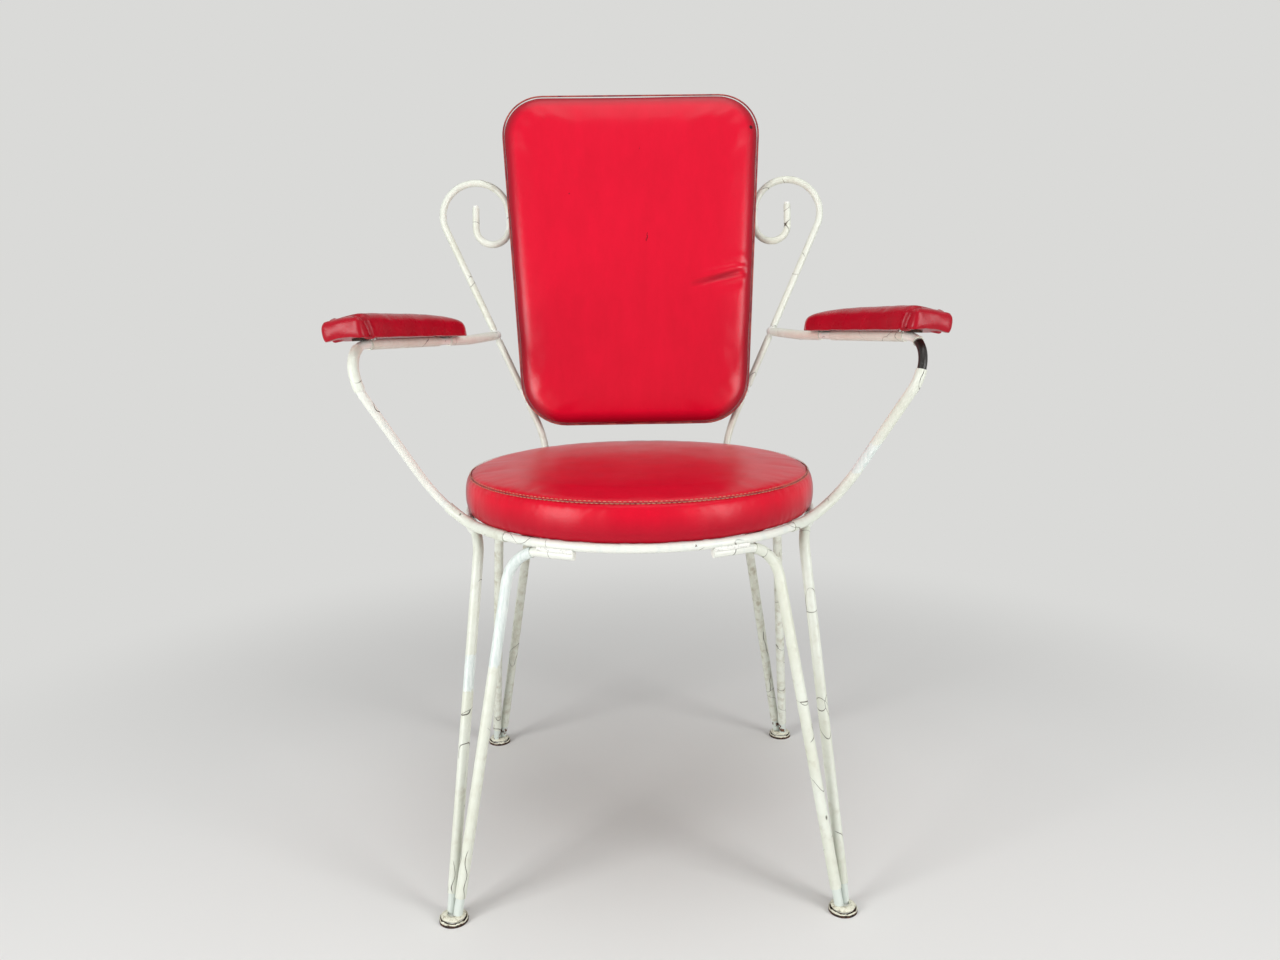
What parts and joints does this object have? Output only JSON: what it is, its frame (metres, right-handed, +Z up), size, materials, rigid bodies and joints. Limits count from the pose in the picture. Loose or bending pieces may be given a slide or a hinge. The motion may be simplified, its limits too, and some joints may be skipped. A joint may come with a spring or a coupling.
{
  "type": "armchair",
  "caption": "Bent-rod garden armchair with a round padded seat, scrolled back stiles, hooked double-rod legs, padded arms and a padded back.",
  "frame": {"origin": "on the floor, in the middle of the chair's width and depth", "axes": "+Z up, -Y the way the sitter faces, +X the sitter's left"},
  "size_m": [0.6572, 0.4931, 0.8918],
  "materials": {
    "frame_paint": "brushed white paint over steel rod, worn to rust and black in places",
    "disc_steel": "rusted sheet steel with remains of white paint",
    "weld_steel": "painted weld beads",
    "screw_steel": "dull, lightly rusted",
    "cream_sleeve": "aged cream plastic sleeve with fine cracks",
    "plywood": "raw plywood",
    "panel_board": "dark painted hardboard",
    "foam": "upholstery foam",
    "red_vinyl": "semi-gloss crimson upholstery vinyl",
    "welt_vinyl": "piped vinyl edge"
  },
  "bodies": {
    "root": {"arm_and_front_ring_rod": "frame_paint", "rear_ring_rod": "frame_paint", "back_stile_left": "frame_paint", "back_stile_right": "frame_paint", "front_leg_inner_rod_left": "frame_paint", "front_leg_inner_sleeve_left": "cream_sleeve", "front_leg_inner_rod_right": "frame_paint", "front_leg_inner_sleeve_right": "cream_sleeve", "front_leg_outer_rod_left": "frame_paint", "front_leg_outer_sleeve_left": "cream_sleeve", "front_leg_outer_rod_right": "frame_paint", "front_leg_outer_sleeve_right": "cream_sleeve", "front_foot_disc_left": "disc_steel", "front_foot_disc_right": "disc_steel", "rear_leg_inner_rod_left": "frame_paint", "rear_leg_inner_sleeve_left": "cream_sleeve", "rear_leg_inner_rod_right": "frame_paint", "rear_leg_inner_sleeve_right": "cream_sleeve", "rear_leg_outer_rod_left": "frame_paint", "rear_leg_outer_sleeve_left": "cream_sleeve", "rear_leg_outer_rod_right": "frame_paint", "rear_leg_outer_sleeve_right": "cream_sleeve", "rear_foot_disc_left": "disc_steel", "rear_foot_disc_right": "disc_steel", "arm_upper_sleeve_left": "cream_sleeve", "arm_upper_sleeve_right": "cream_sleeve", "arm_lower_sleeve_left": "cream_sleeve", "arm_lower_sleeve_right": "cream_sleeve", "stile_sleeve_left": "cream_sleeve", "stile_sleeve_right": "cream_sleeve", "leg_top_welds": "weld_steel", "foot_welds": "weld_steel", "ring_joint_welds": "weld_steel", "stile_foot_welds": "weld_steel", "arm_end_welds": "weld_steel", "seat_tabs": "frame_paint", "back_tabs": "frame_paint", "arm_tabs": "frame_paint", "seat_screws": "screw_steel", "back_screws": "screw_steel", "arm_screws": "screw_steel", "seat_board": "plywood", "back_board": "plywood", "arm_pad_board_left": "plywood", "arm_pad_board_right": "plywood", "back_rear_panel": "panel_board", "seat_foam": "foam", "back_foam": "foam", "arm_pad_foam_left": "foam", "arm_pad_foam_right": "foam", "seat_cover": "red_vinyl", "back_cover": "red_vinyl", "arm_pad_cover_left": "red_vinyl", "arm_pad_cover_right": "red_vinyl", "seat_welt": "welt_vinyl", "back_welt": "welt_vinyl"}
  },
  "joints": []
}
